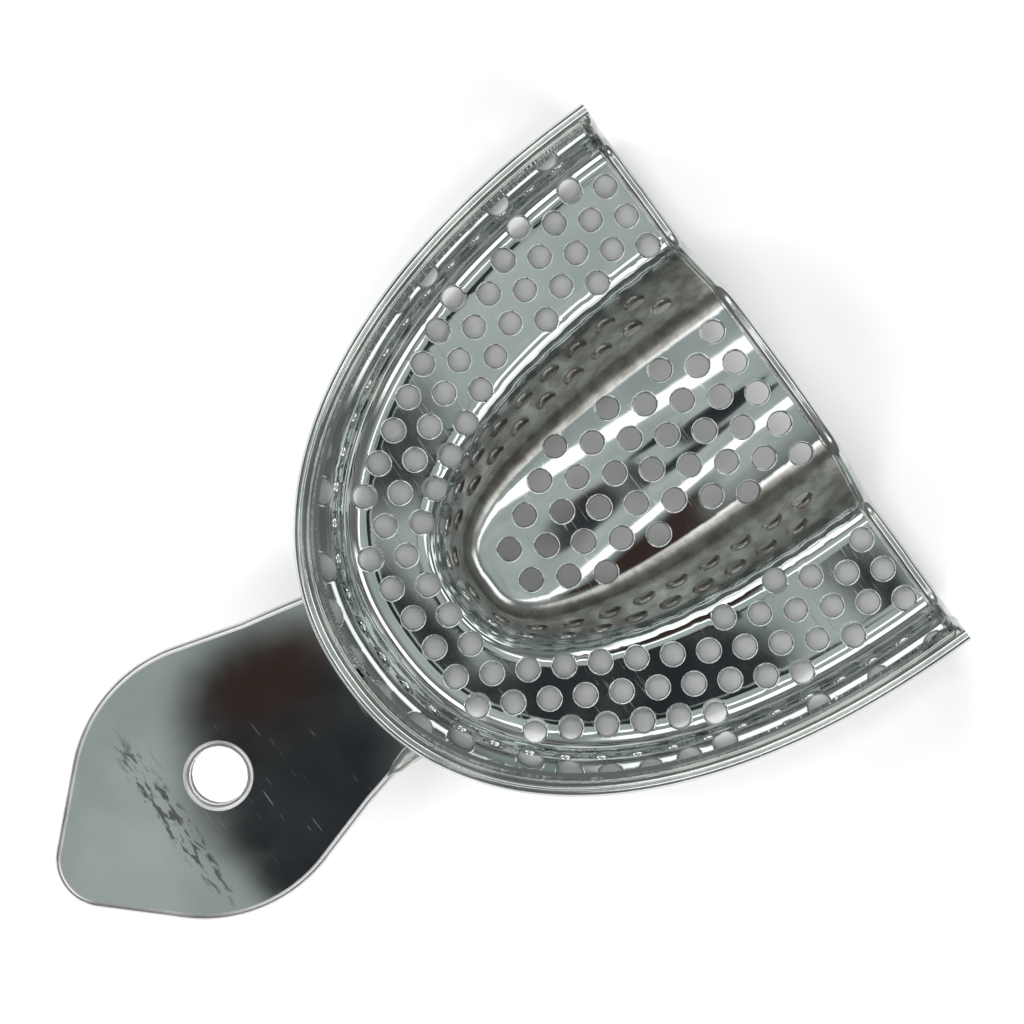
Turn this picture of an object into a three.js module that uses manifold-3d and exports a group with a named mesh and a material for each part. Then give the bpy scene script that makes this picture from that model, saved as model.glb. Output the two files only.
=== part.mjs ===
// Perforated stainless steel impression tray for an upper jaw, with a flat leaf handle.
// Millimetres, +Z up. The trough opens upwards and the handle points along -Y.
// The origin is the middle of the outside box, on the surface that the tray rests on.
import * as THREE from 'three';
import { mergeVertices } from 'three/addons/utils/BufferGeometryUtils.js';
import Module from 'manifold-3d';

const wasm = await Module();
wasm.setup();

// The tray: one sheet of steel, punched and then pressed.
const rimHalfWidth = 35; // outside of the rim wire, just in front of the back corners
const rimDepth = 57.2; // back edge to the outside of the rim wire at the front
const rimHeight = 13; // resting surface to the lip of the sheet
const rimSquareness = 2.2; // superellipse exponent: 2 is an ellipse, more is squarer
const sheet = 0.9; // thickness of the sheet
const seam = 0.3; // clear line kept between soldered pieces

// The wires soldered round the sheet's edges.
const rimWire = 1.5; // diameter
const backWire = 1.3; // diameter
const rimWireDrop = 0.35; // the rim wire's middle below the lip

// The handle: a leaf cut from thicker sheet, its foot bent up against the front flange.
const handleThickness = 1.8;
const footThickness = 1.7; // bending draws the foot a little thinner
const handleClearance = 1.6; // resting surface to the underside of the leaf
const neckAngle = THREE.MathUtils.degToRad(16.5); // each side of the neck, off the axis
const pointAngle = THREE.MathUtils.degToRad(43.5); // each side of the point, off the axis
const leafHalfWidth = 14.9;
const leafWidestAt = 75.2; // depth of the widest place
const shoulderRadius = 16.8;
const tipRadius = 5.3;
const handleLength = 95.2; // back edge of the tray to the tip
const hangingHole = 6.2; // diameter
const hangingHoleAt = 74.6; // depth of its middle
const edgeBevel = 0.45;
const footTop = 10.4; // height of the foot's upper edge
const footHalfWidth = 9.7;
const bendLeg = 2.6; // length of each side of the bend
const footGap = 0.2; // room for the solder behind the foot, besides the seam

// The perforations.
const holeRadius = 1.2;
const holeSides = 6;
const pitch = 3.95; // hole to hole along a row
const rowPitch = 3.42; // row to row
const patternShift = 0.6; // the punched pattern is a little off the tray's middle
const firstTroughRow = 3.2; // depth
const firstCrownRow = 3.95; // depth
const outerMargin = 1.7; // hole's middle to the trough's outer corner, at least
const innerMargin = 1.5; // hole's middle to the palatal wall's foot, at least
const crownMargin = 1.6; // hole's middle to the crown's edge, at least
const flangeRing = 0.3; // height of the flange's ring of holes, as a share of the flange
const lowerWallRing = 0.36; // heights of the palatal wall's two rings, likewise
const upperWallRing = 0.68;
const endMargin = 1.5; // a ring's last hole to the back edge

// Depth is measured from the back edge towards the handle.
const backEdge = handleLength / 2;
const atDepth = (depth) => backEdge - depth;
const sheetEdge = backWire + seam; // the sheet begins in front of the back wire
const midFloor = sheet / 2;

// Level lines of the pressed shape, on the middle of the sheet. Each is a U in plan, open
// at the back edge; the sheet runs straight from one to the next, with rounded folds.
const lipInset = rimWire + seam + sheet / 2;
const lip = {
  halfWidth: rimHalfWidth - lipInset,
  depth: rimDepth - lipInset,
  squareness: rimSquareness,
  height: rimHeight,
};
const troughOuter = { halfWidth: 31.7, depth: 52.3, squareness: 2.25, height: midFloor };
const palateBase = { halfWidth: 17.1, depth: 42.1, squareness: 2.35, height: midFloor };
const crownEdge = { halfWidth: 10.3, depth: 39.3, squareness: 2.9, height: 12.3 };
const crownRise = 1.5; // the crown's arch above its edge
const spineDepth = crownEdge.depth - crownEdge.halfWidth; // where the crown's ridge ends

const flangeFold = 3.2; // length of each side of a rounded fold
const palateFold = 2.2;
const crownFold = 2.4;

// How finely the pressed sheet is divided.
const turns = 28;
const foldSteps = 2;
const crownSteps = 2;

// A level part of the way from one level to another.
function levelBetween(lower, upper, share) {
  const mix = (key) => THREE.MathUtils.lerp(lower[key], upper[key], share);
  return {
    halfWidth: mix('halfWidth'),
    depth: mix('depth'),
    squareness: mix('squareness'),
    height: mix('height'),
  };
}

// The point of a level at a turn of 0 (right back corner) to PI (left back corner).
function levelPoint(level, turn, start = sheetEdge) {
  const power = 2 / level.squareness;
  const across = Math.cos(turn);
  const along = Math.sin(turn);
  const x = level.halfWidth * Math.sign(across) * Math.abs(across) ** power;
  const depth = start + (level.depth - start) * Math.sign(along) * Math.abs(along) ** power;
  return new THREE.Vector3(x, atDepth(depth), level.height);
}

// How far out a place in plan lies: under 1 inside the level, 1 on it.
function reach(level, x, depth, inset = 0) {
  const across = Math.abs(x) / (level.halfWidth - inset);
  const along = Math.abs(depth) / (level.depth - inset);
  return (across ** level.squareness + along ** level.squareness) ** (1 / level.squareness);
}

// Depth of a level's front at a place across the tray.
function levelFront(level, x) {
  const across = (Math.abs(x) / level.halfWidth) ** level.squareness;
  return sheetEdge + (level.depth - sheetEdge) * (1 - across) ** (1 / level.squareness);
}

// A rounded fold at a corner, as points of the sheet with the direction that it runs in.
function fold(before, corner, after, leg, steps) {
  const start = corner.clone().add(before.clone().sub(corner).setLength(leg));
  const end = corner.clone().add(after.clone().sub(corner).setLength(leg));
  const curve = new THREE.QuadraticBezierCurve3(start, corner, end);
  const places = [];
  for (let i = 0; i <= steps; i++) {
    places.push({ point: curve.getPoint(i / steps), along: curve.getTangent(i / steps) });
  }
  return places;
}

// A surface through rows of places, each row's neighbours being where the same places of the
// rows just beside it lie, which gives the upward normal.
function facing(places, sideA, sideB) {
  return places.map(({ point, along }, i) => {
    const across = sideB[i].point.clone().sub(sideA[i].point);
    return { point, normal: across.cross(along).normalize() };
  });
}

function crownHeight(x, depth) {
  return crownEdge.height + crownRise * (1 - reach(crownEdge, x, depth) ** 2);
}

function crownNormal(point) {
  const small = 0.01;
  const depth = backEdge - point.y;
  const slopeX = crownHeight(point.x + small, depth) - crownHeight(point.x - small, depth);
  const slopeY = crownHeight(point.x, depth - small) - crownHeight(point.x, depth + small);
  return new THREE.Vector3(-slopeX, -slopeY, 2 * small).normalize();
}

// A point of the crown, from its edge (0) to its ridge (1).
function crownPoint(turn, share) {
  const ridge = { ...crownEdge, halfWidth: 0, depth: spineDepth };
  const point = levelPoint(crownEdge, turn).lerp(levelPoint(ridge, turn), share);
  point.z = crownHeight(point.x, backEdge - point.y);
  return point;
}

// The share of the way to the ridge at which the crown's own arch begins, past its fold.
function crownStart(turn) {
  return crownFold / crownPoint(turn, 0).distanceTo(crownPoint(turn, 1));
}

// The folded part of one section: down the flange, across the trough and up the palatal wall.
function foldedPlaces(turn) {
  const corners = [lip, troughOuter, palateBase, crownEdge].map((l) => levelPoint(l, turn));
  const [lipCorner, outerCorner, baseCorner, crownCorner] = corners;
  const crownSide = crownPoint(turn, crownStart(turn));
  return [
    { point: lipCorner, along: outerCorner.clone().sub(lipCorner) },
    ...fold(lipCorner, outerCorner, baseCorner, flangeFold, foldSteps),
    ...fold(outerCorner, baseCorner, crownCorner, palateFold, foldSteps),
    ...fold(baseCorner, crownCorner, crownSide, crownFold, foldSteps),
  ];
}

// One whole section of the sheet, from its lip to the crown's ridge.
function section(turn) {
  const nudge = 0.001;
  const folded = facing(
    foldedPlaces(turn),
    foldedPlaces(turn + nudge),
    foldedPlaces(turn - nudge),
  ).slice(0, -1);
  const arch = [];
  for (let step = 0; step <= crownSteps; step++) {
    const share = THREE.MathUtils.lerp(crownStart(turn), 1, step / crownSteps);
    const point = crownPoint(turn, share);
    arch.push({ point, normal: crownNormal(point) });
  }
  return [...folded, ...arch];
}

// A surface through rows of places, with shared vertices.
function surfaceThrough(rows) {
  const index = [];
  const width = rows[0].length;
  for (let row = 0; row < rows.length - 1; row++) {
    for (let column = 0; column < width - 1; column++) {
      const a = row * width + column;
      const b = a + 1;
      const c = a + width;
      const d = c + 1;
      index.push(a, b, c, b, d, c);
    }
  }
  const places = rows.flat();
  const surface = new THREE.BufferGeometry().setFromPoints(places.map((p) => p.point));
  const normals = places.flatMap((p) => p.normal.toArray());
  surface.setAttribute('normal', new THREE.Float32BufferAttribute(normals, 3));
  surface.setIndex(index);
  return mergeVertices(surface);
}

// Gives a surface its thickness, half on each side, and closes its open edges.
function thicken(surface, thickness) {
  const { position, normal } = surface.attributes;
  const corners = surface.index.array;
  const count = position.count;
  const points = [];
  for (const side of [0.5, -0.5]) {
    for (let i = 0; i < count; i++) {
      const point = new THREE.Vector3().fromBufferAttribute(position, i);
      const out = new THREE.Vector3().fromBufferAttribute(normal, i);
      points.push(point.addScaledVector(out, side * thickness));
    }
  }
  const index = [];
  const edges = new Map();
  for (let i = 0; i < corners.length; i += 3) {
    const face = [corners[i], corners[i + 1], corners[i + 2]];
    if (new Set(face).size < 3) continue;
    index.push(face[0], face[1], face[2]);
    index.push(face[2] + count, face[1] + count, face[0] + count);
    for (let k = 0; k < 3; k++) edges.set(`${face[k]} ${face[(k + 1) % 3]}`, face[k]);
  }
  for (const [edge, from] of edges) {
    const to = Number(edge.split(' ')[1]);
    if (edges.has(`${to} ${from}`)) continue;
    index.push(to, from, from + count, to, from + count, to + count);
  }
  const solid = new THREE.BufferGeometry().setFromPoints(points);
  solid.setIndex(index);
  return solid;
}

function toSolid(geometry) {
  const bare = geometry.clone();
  bare.deleteAttribute('normal');
  bare.deleteAttribute('uv');
  const merged = mergeVertices(bare, 1e-4);
  const vertProperties = new Float32Array(merged.attributes.position.array);
  const triVerts = new Uint32Array(merged.index.array);
  return new wasm.Manifold(new wasm.Mesh({ numProp: 3, vertProperties, triVerts }));
}

function toGeometry(solid) {
  const mesh = solid.getMesh();
  const geometry = new THREE.BufferGeometry();
  geometry.setAttribute('position', new THREE.BufferAttribute(mesh.vertProperties, 3));
  geometry.setIndex(new THREE.BufferAttribute(mesh.triVerts, 1));
  return geometry;
}

// A punch through the sheet at a point, along the sheet's normal there.
function punchAt(point, normal) {
  const punch = new THREE.CylinderGeometry(holeRadius, holeRadius, 3 * sheet, holeSides);
  const turned = new THREE.Quaternion().setFromUnitVectors(
    new THREE.Vector3(0, 1, 0),
    normal.clone().normalize(),
  );
  punch.applyQuaternion(turned);
  punch.translate(point.x, point.y, point.z);
  return punch;
}

// Rows of the punched pattern as places in plan, each row half a pitch off the last.
function patternPlaces(firstRow) {
  const places = [];
  const rows = Math.floor((rimDepth - firstRow) / rowPitch);
  const reachOut = Math.ceil(rimHalfWidth / pitch);
  for (let row = 0; row <= rows; row++) {
    for (let hole = -reachOut; hole <= reachOut; hole++) {
      const x = patternShift + (hole + (row % 2) / 2) * pitch;
      places.push({ x, depth: firstRow + row * rowPitch });
    }
  }
  return places;
}

// Punches of the flat trough floor, clear of its folds.
function troughPunches() {
  const up = new THREE.Vector3(0, 0, 1);
  return patternPlaces(firstTroughRow)
    .filter(({ x, depth }) => reach(troughOuter, x, depth, outerMargin) < 1)
    .filter(({ x, depth }) => reach(palateBase, x, depth, -innerMargin) > 1)
    .map(({ x, depth }) => punchAt(new THREE.Vector3(x, atDepth(depth), midFloor), up));
}

// Punches of the arched crown.
function crownPunches() {
  return patternPlaces(firstCrownRow)
    .filter(({ x, depth }) => reach(crownEdge, x, depth, crownMargin) < 1)
    .map(({ x, depth }) => {
      const point = new THREE.Vector3(x, atDepth(depth), crownHeight(x, depth));
      return punchAt(point, crownNormal(point));
    });
}

// A level line as a curve, evenly walked by getPointAt and getTangentAt.
class LevelCurve extends THREE.Curve {
  constructor(level, start = sheetEdge) {
    super();
    this.level = level;
    this.start = start;
  }

  getPoint(t) {
    return levelPoint(this.level, Math.PI * t, this.start);
  }
}

// A ring of punches round the straight face between two levels.
function ringPunches(lower, upper, share, stagger) {
  const ring = new LevelCurve(levelBetween(lower, upper, share));
  const length = ring.getLength();
  const count = Math.floor((length - 2 * holeRadius - endMargin) / pitch);
  const margin = (length - (count - 1) * pitch) / 2;
  const punches = [];
  for (let i = 0; i < count - (stagger ? 1 : 0); i++) {
    const place = (margin + (i + (stagger ? 0.5 : 0)) * pitch) / length;
    const turn = Math.PI * ring.getUtoTmapping(place);
    const rise = levelPoint(upper, turn).sub(levelPoint(lower, turn));
    const normal = ring.getTangentAt(place).cross(rise);
    punches.push(punchAt(ring.getPointAt(place), normal));
  }
  return punches;
}

// The pressed sheet, with its perforations.
function makeTrayBody() {
  const rows = [];
  for (let i = 0; i <= turns; i++) {
    rows.push(section((Math.PI * i) / turns));
  }
  let body = toSolid(thicken(surfaceThrough(rows), sheet));
  const punches = [
    ...troughPunches(),
    ...crownPunches(),
    ...ringPunches(troughOuter, lip, flangeRing, false),
    ...ringPunches(palateBase, crownEdge, lowerWallRing, true),
    ...ringPunches(palateBase, crownEdge, upperWallRing, false),
  ];
  for (const punch of punches) {
    body = body.subtract(toSolid(punch));
  }
  return toGeometry(body);
}

function roundWire(path, diameter, steps, sides = 8) {
  const circle = new THREE.Shape();
  for (let i = 0; i < sides; i++) {
    const angle = (2 * Math.PI * (i + 0.5)) / sides;
    const corner = [(diameter / 2) * Math.cos(angle), (diameter / 2) * Math.sin(angle)];
    if (i === 0) circle.moveTo(...corner);
    else circle.lineTo(...corner);
  }
  circle.closePath();
  return new THREE.ExtrudeGeometry(circle, { steps, extrudePath: path });
}

const rimWireHeight = rimHeight - rimWireDrop;

// The wire round the outside of the lip, from back corner to back corner.
function makeRimWire() {
  const path = new LevelCurve(
    {
      halfWidth: rimHalfWidth - rimWire / 2,
      depth: rimDepth - rimWire / 2,
      squareness: rimSquareness,
      height: rimWireHeight,
    },
    0,
  );
  return roundWire(path, rimWire, 60);
}

// The wire along the back edge: it follows the sheet's section there, under the rim wire.
function makeBackWire() {
  const lift = backWire / 2 - midFloor; // keeps its underside level with the trough's
  const top = rimWireHeight - rimWire / 2 - seam - backWire / 2;
  const half = section(0)
    .slice(1)
    .map(({ point }) => new THREE.Vector3(point.x, atDepth(backWire / 2), point.z + lift));
  const flangeShare = (top - midFloor) / (lip.height - midFloor);
  const start = levelPoint(levelBetween(troughOuter, lip, flangeShare), 0);
  half.unshift(new THREE.Vector3(start.x, atDepth(backWire / 2), top));
  const otherHalf = half
    .slice(0, -1)
    .reverse()
    .map((p) => new THREE.Vector3(-p.x, p.y, p.z));
  const bends = [...half, ...otherHalf];
  const path = new THREE.CurvePath();
  for (let i = 1; i < bends.length; i++) {
    path.add(new THREE.LineCurve3(bends[i - 1], bends[i]));
  }
  return roundWire(path, backWire, 70, 7);
}

const leafMiddle = handleClearance + handleThickness / 2;

// Depth of the middle of the handle's foot, which lies against the front flange.
function footDepth(x, height) {
  const share = (height - midFloor) / (lip.height - midFloor);
  const clear = sheet / 2 + seam + footGap + footThickness / 2;
  return levelFront(levelBetween(troughOuter, lip, share), x) + clear;
}

// Half width of the neck, whose sides run straight into the leaf's shoulders.
function neckHalfWidth(depth) {
  const shoulderX = leafHalfWidth - shoulderRadius * (1 - Math.cos(neckAngle));
  const shoulderDepth = leafWidestAt - shoulderRadius * Math.sin(neckAngle);
  return shoulderX - (shoulderDepth - depth) * Math.tan(neckAngle);
}

// The flat leaf with its hanging hole.
function makeLeaf(neckEnd) {
  const inside = edgeBevel;
  const side = leafHalfWidth - shoulderRadius;
  const shoulderY = atDepth(leafWidestAt);
  const tipY = atDepth(handleLength - tipRadius);
  const neck = neckHalfWidth(neckEnd) - inside;
  const radius = shoulderRadius - inside;
  const leaf = new THREE.Shape();
  leaf.absarc(side, shoulderY, radius, neckAngle, -pointAngle, true);
  leaf.absarc(0, tipY, tipRadius - inside, -pointAngle, pointAngle - Math.PI, true);
  leaf.absarc(-side, shoulderY, radius, pointAngle - Math.PI, -neckAngle - Math.PI, true);
  leaf.lineTo(-neck, atDepth(neckEnd));
  leaf.lineTo(neck, atDepth(neckEnd));
  leaf.closePath();
  const hole = new THREE.Path();
  hole.absarc(0, atDepth(hangingHoleAt), hangingHole / 2 + inside, 0, 2 * Math.PI, false);
  leaf.holes.push(hole);
  const geometry = new THREE.ExtrudeGeometry(leaf, {
    depth: handleThickness - 2 * edgeBevel,
    bevelThickness: edgeBevel,
    bevelSize: edgeBevel,
    bevelSegments: 1,
    curveSegments: 12,
  });
  geometry.translate(0, 0, handleClearance + edgeBevel);
  return geometry;
}

// One line of the foot: from the neck, round the bend and up the flange.
function footPlaces(neckStart, across) {
  const wide = across * neckHalfWidth(neckStart);
  const x = across * footHalfWidth;
  const start = new THREE.Vector3(wide, atDepth(neckStart), leafMiddle);
  const corner = new THREE.Vector3(x, atDepth(footDepth(x, leafMiddle)), leafMiddle);
  const top = new THREE.Vector3(x, atDepth(footDepth(x, footTop)), footTop);
  return [
    { point: start, along: corner.clone().sub(start) },
    ...fold(start, corner, top, bendLeg, 4),
    { point: top, along: top.clone().sub(corner) },
  ];
}

// The neck's end, bent up into the foot that lies against the curved flange.
function makeFoot(neckStart) {
  const columns = 8;
  const nudge = 0.001;
  const rows = [];
  for (let i = 0; i <= columns; i++) {
    const across = 1 - (2 * i) / columns;
    rows.push(
      facing(
        footPlaces(neckStart, across),
        footPlaces(neckStart, across - nudge),
        footPlaces(neckStart, across + nudge),
      ),
    );
  }
  return thicken(surfaceThrough(rows), footThickness);
}

function makeHandle() {
  const neckEnd = 58.6;
  const overlap = 1.5;
  return toGeometry(toSolid(makeLeaf(neckEnd)).add(toSolid(makeFoot(neckEnd + overlap))));
}

// A run of solder that has set as a rounded lump along a line.
function solderBead(from, to, width, height) {
  const bead = new THREE.SphereGeometry(0.5, 10, 6);
  const along = to.clone().sub(from);
  bead.scale(width, along.length(), height);
  bead.applyQuaternion(
    new THREE.Quaternion().setFromUnitVectors(
      new THREE.Vector3(0, 1, 0),
      along.clone().normalize(),
    ),
  );
  const middle = from.clone().add(to).multiplyScalar(0.5);
  bead.translate(middle.x, middle.y, middle.z);
  return bead;
}

// The solder up one side of the foot.
function makeHandleSolder(side) {
  const width = 1.3;
  const x = side * (footHalfWidth + seam + width / 2 + 0.2);
  const out = width / 2 + seam + sheet / 2 + 0.25;
  const place = (height) => {
    const share = (height - midFloor) / (lip.height - midFloor);
    const depth = levelFront(levelBetween(troughOuter, lip, share), x) + out;
    return new THREE.Vector3(x, atDepth(depth), height);
  };
  return solderBead(place(4.2), place(footTop), width, width);
}

// The solder in one back corner, where the rim wire meets the wire of the back edge.
function makeCornerSolder(side) {
  const size = 1.1;
  const x = side * (lip.halfWidth + sheet / 2 + seam + size / 2);
  const height = rimWireHeight - rimWire / 2 - seam - size / 2;
  const from = new THREE.Vector3(x, atDepth(0.7), height);
  const to = new THREE.Vector3(x, atDepth(4.2), height);
  return solderBead(from, to, size, size);
}

const polished = { color: 0xaab0ae, metalness: 1, roughness: 0.08 };
const brushed = { color: 0x9ea3a2, metalness: 1, roughness: 0.16 };
const solder = { color: 0x8c8f8c, metalness: 1, roughness: 0.32 };

const tray = new THREE.Group();

function addPiece(name, geometry, finish) {
  const piece = new THREE.Mesh(geometry, new THREE.MeshStandardMaterial(finish));
  piece.name = name;
  tray.add(piece);
}

addPiece('tray_body', makeTrayBody(), polished);
addPiece('rim_wire', makeRimWire(), brushed);
addPiece('back_wire', makeBackWire(), brushed);
addPiece('handle', makeHandle(), polished);
addPiece('handle_solder_left', makeHandleSolder(-1), solder);
addPiece('handle_solder_right', makeHandleSolder(1), solder);
addPiece('corner_solder_left', makeCornerSolder(-1), solder);
addPiece('corner_solder_right', makeCornerSolder(1), solder);

export default tray;
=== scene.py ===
import bpy
import bmesh
import math
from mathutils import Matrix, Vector, noise
from mathutils.bvhtree import BVHTree
from mathutils.geometry import tessellate_polygon


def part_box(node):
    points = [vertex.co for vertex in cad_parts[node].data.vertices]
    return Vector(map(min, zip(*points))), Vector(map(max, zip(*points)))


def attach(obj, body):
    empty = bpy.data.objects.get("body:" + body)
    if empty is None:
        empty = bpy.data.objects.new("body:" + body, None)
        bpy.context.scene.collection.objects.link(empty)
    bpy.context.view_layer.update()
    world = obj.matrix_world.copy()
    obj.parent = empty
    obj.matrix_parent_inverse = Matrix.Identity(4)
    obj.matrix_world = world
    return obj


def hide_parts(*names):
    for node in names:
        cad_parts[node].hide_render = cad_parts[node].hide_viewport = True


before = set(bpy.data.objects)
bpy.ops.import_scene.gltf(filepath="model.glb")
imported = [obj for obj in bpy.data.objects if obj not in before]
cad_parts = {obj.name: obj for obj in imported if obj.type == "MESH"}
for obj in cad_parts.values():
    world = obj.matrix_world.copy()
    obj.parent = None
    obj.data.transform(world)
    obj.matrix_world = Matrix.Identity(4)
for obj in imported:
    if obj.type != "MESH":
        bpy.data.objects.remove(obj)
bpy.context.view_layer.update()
mm = 0.001  # every size below is in millimetres

# Depth runs from the tray's back edge towards the handle, and x across the arch.
rimLow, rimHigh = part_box("rim_wire")
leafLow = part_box("handle")[0]
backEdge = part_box("back_wire")[1].y / mm
rimHalfWidth = rimHigh.x / mm
rimDepth = backEdge - rimLow.y / mm
handleLength = backEdge - leafLow.y / mm


def at(x, depth, z):
    return Vector((x, backEdge - depth, z))


def newObject(name, mesh):
    piece = bpy.data.objects.new(name, mesh)
    bpy.context.scene.collection.objects.link(piece)
    return piece


def meshFrom(name, points, faces):
    mesh = bpy.data.meshes.new(name)
    mesh.from_pydata([p * mm for p in points], [], faces)
    mesh.validate()
    return mesh


def smoothMesh(mesh):
    mesh.polygons.foreach_set("use_smooth", [True] * len(mesh.polygons))
    mesh.update()


def mix(a, b, share):
    return a + (b - a) * share


def makeTree(name, sockets):
    tree = bpy.data.node_groups.new(name, "GeometryNodeTree")
    tree.interface.new_socket("Geometry", in_out="INPUT", socket_type="NodeSocketGeometry")
    for label, kind in sockets:
        tree.interface.new_socket(label, in_out="INPUT", socket_type=kind)
    tree.interface.new_socket("Geometry", in_out="OUTPUT", socket_type="NodeSocketGeometry")
    return tree


def applyTree(piece, tree, values):
    modifier = piece.modifiers.new(tree.name, "NODES")
    modifier.node_group = tree
    for item in tree.interface.items_tree:
        if item.in_out == "INPUT" and item.name in values:
            modifier[item.identifier] = values[item.name]
    evaluated = piece.evaluated_get(bpy.context.evaluated_depsgraph_get())
    mesh = bpy.data.meshes.new_from_object(evaluated)
    piece.modifiers.remove(modifier)
    piece.data = mesh
    return piece


def finishPiece(piece, slot, *nodes):
    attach(piece, "root")
    if nodes:
        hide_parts(*nodes)
    return piece


class Nodes:
    # a thin wrapper that adds and links shader nodes in one line
    def __init__(self, tree):
        self.tree = tree
        self.tree.nodes.clear()

    def add(self, kind, inputs=None, **settings):
        node = self.tree.nodes.new(kind)
        for key, value in settings.items():
            setattr(node, key, value)
        for key, value in (inputs or {}).items():
            self.feed(node.inputs[key], value)
        return node

    def feed(self, socket, value):
        if isinstance(value, bpy.types.NodeSocket):
            self.tree.links.new(value, socket)
        else:
            socket.default_value = value

    def math(self, operation, a, b=0.0, c=0.0):
        node = self.add("ShaderNodeMath", {0: a, 1: b, 2: c}, operation=operation)
        return node.outputs[0]

    def vector(self, operation, a, b=(0.0, 0.0, 0.0)):
        node = self.add("ShaderNodeVectorMath", {0: a, 1: b}, operation=operation)
        return node.outputs["Value" if operation in ("LENGTH", "DOT_PRODUCT") else "Vector"]

    def noise(self, place, scale, detail=2.0, roughness=0.5, distortion=0.0):
        node = self.add("ShaderNodeTexNoise", {
            "Vector": place, "Scale": scale, "Detail": detail,
            "Roughness": roughness, "Distortion": distortion,
        })
        return node.outputs["Fac"]

    def ramp(self, value, low, high, outLow=0.0, outHigh=1.0):
        node = self.add("ShaderNodeMapRange", {
            "Value": value, "From Min": low, "From Max": high,
            "To Min": outLow, "To Max": outHigh,
        }, interpolation_type="SMOOTHSTEP")
        return node.outputs["Result"]

    def blend(self, share, a, b):
        node = self.add("ShaderNodeMix", data_type="RGBA")
        self.feed(node.inputs[0], share)
        self.feed(node.inputs[6], a)
        self.feed(node.inputs[7], b)
        return node.outputs[2]


def rgb(r, g, b):
    return (r, g, b, 1.0)


def makeSteel(name, look):
    material = bpy.data.materials.new(name)
    material.use_nodes = True
    n = Nodes(material.node_tree)
    place = n.add("ShaderNodeTexCoord").outputs["Object"]
    perMm = 1.0 / mm
    broad = n.noise(place, look["cloudScale"] * perMm, 3.0)
    grain = n.noise(place, look["grainScale"] * perMm, 4.0, 0.6)
    colour = n.blend(n.ramp(broad, 0.35, 0.65), look["deepTone"], look["lightTone"])

    # fine polishing scratches, two directions, broken up by the clouds
    scratches = []
    for turn, stretch in look["scratchTurns"]:
        turned = n.add("ShaderNodeMapping", {
            "Vector": place,
            "Rotation": (0.0, 0.0, math.radians(turn)),
            "Scale": (stretch, 1.0, stretch),
        }).outputs["Vector"]
        lines = n.noise(turned, look["scratchScale"] * perMm, 1.0, 0.4)
        limit = look["scratchLimit"]
        scratches.append(n.ramp(lines, limit, limit + look["scratchSpan"]))
    scratch = n.math("MAXIMUM", scratches[0], scratches[1])
    scratch = n.math("MULTIPLY", scratch, n.ramp(broad, 0.4, 0.62))
    wear = scratch
    if "band" in look:
        band = handlingBand(n, place, look["band"], perMm)
        colour = n.blend(n.math("MULTIPLY", band, 0.85), colour, look["bandTone"])
        wear = n.math("MAXIMUM", scratch, n.math("MULTIPLY", band, 0.5))
    rough = n.math("ADD", n.ramp(broad, 0.3, 0.7, look["roughLow"], look["roughHigh"]),
                   n.math("MULTIPLY", grain, look["grainRough"]))
    rough = n.math("ADD", rough, n.math("MULTIPLY", wear, look["scratchRough"]))
    if "paintedWallShade" in look:
        # painted shade: the palatal wall gets darker, brownish mottled colours in place of the
        # dark reflections it shows, and its roughness is raised as well
        wallShadeAndRoughMask = palatalWall(n, place, perMm)
        tone = n.blend(n.ramp(n.noise(place, 0.5 * perMm, 3.0, 0.6), 0.35, 0.65),
                       look["paintedWallShade"], look["paintedWallShadePale"])
        colour = n.blend(wallShadeAndRoughMask, colour, tone)
        rough = n.math("ADD", rough, n.math("MULTIPLY", wallShadeAndRoughMask, look["wallRough"]))
    dents = n.noise(place, look["dentScale"] * perMm, 2.0)
    height = n.math("MULTIPLY", dents, look["dentDepth"])
    height = n.math("ADD", height, n.math("MULTIPLY", grain, look["grainDepth"]))
    height = n.math("SUBTRACT", height, n.math("MULTIPLY", wear, look["scratchDepth"]))
    bump = n.add("ShaderNodeBump", {"Height": height, "Strength": 1.0, "Distance": mm})
    shader = n.add("ShaderNodeBsdfPrincipled", {
        "Base Color": colour, "Metallic": 1.0, "Roughness": rough,
        "Normal": bump.outputs["Normal"],
    })
    n.add("ShaderNodeOutputMaterial", {"Surface": shader.outputs["BSDF"]})
    return material


def handlingBand(n, place, band, perMm):
    # rubbed marks in a narrow strip across the leaf, and nothing that can be read
    centred = n.add("ShaderNodeMapping", {
        "Vector": place,
        "Location": (-band["x"] * mm, -(backEdge - band["depth"]) * mm, 0.0),
    }, vector_type="POINT").outputs["Vector"]
    turned = n.add("ShaderNodeMapping", {
        "Vector": centred,
        "Rotation": (0.0, 0.0, math.radians(band["turn"])),
        "Scale": (1.0 / (band["halfLength"] * mm), 1.0 / (band["halfWidth"] * mm), 0.0),
    }).outputs["Vector"]
    inside = n.ramp(n.vector("LENGTH", turned), 1.0, 0.55)
    streaks = n.add("ShaderNodeMapping", {
        "Vector": place,
        "Rotation": (0.0, 0.0, math.radians(band["streakTurn"])),
        "Scale": (band["streakStretch"], 1.0, 0.0),
    }).outputs["Vector"]
    rubbed = n.ramp(n.noise(streaks, band["streakScale"] * perMm, 3.0, 0.6, 0.4), 0.5, 0.6)
    return n.math("MULTIPLY", inside, rubbed)


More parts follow.
